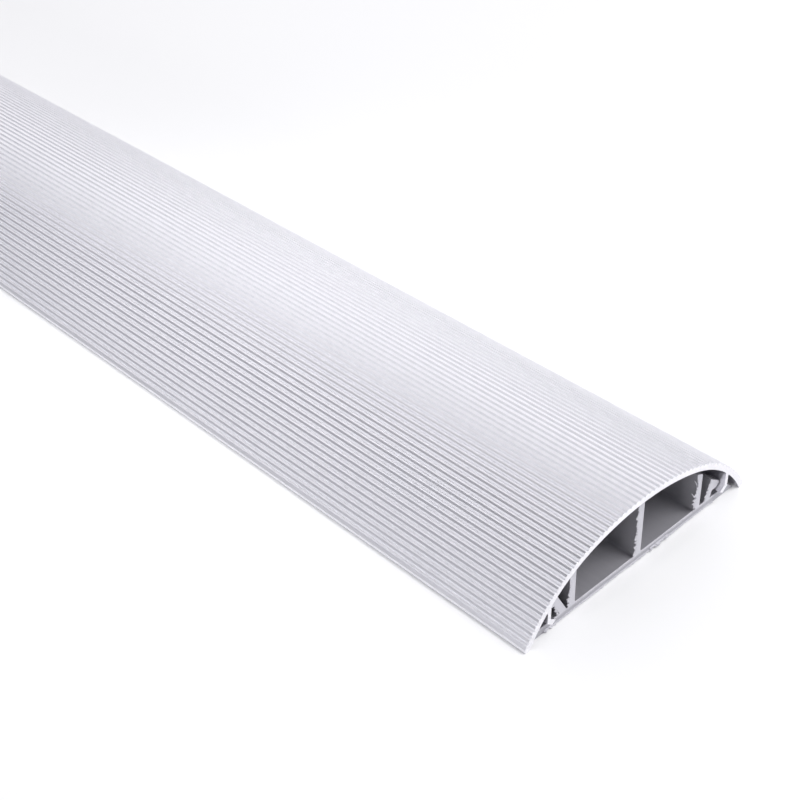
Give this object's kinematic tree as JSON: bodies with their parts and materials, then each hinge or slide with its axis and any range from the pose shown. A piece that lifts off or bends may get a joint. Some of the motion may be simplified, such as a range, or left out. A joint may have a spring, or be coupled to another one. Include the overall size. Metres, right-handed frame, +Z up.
{
  "type": "floor cord cover",
  "caption": "Low arched floor cord cover: ribbed aluminium lid snapped over a grey plastic base with upright dividers that form open cable channels.",
  "frame": {"origin": "on the floor, in the middle of the cover's width and length", "axes": "+X across the section to the right seen from the front end, +Y along the length away from the front end, +Z up from the floor"},
  "size_m": [0.075, 1, 0.02],
  "materials": {
    "anodised_aluminium": "satin clear anodised, extruded with fine lengthwise ribs",
    "grey_rigid_plastic": "smooth matt extruded rigid plastic, rough saw-cut ends"
  },
  "bodies": {
    "root": {"cover": "anodised_aluminium", "base": "grey_rigid_plastic"}
  },
  "joints": []
}
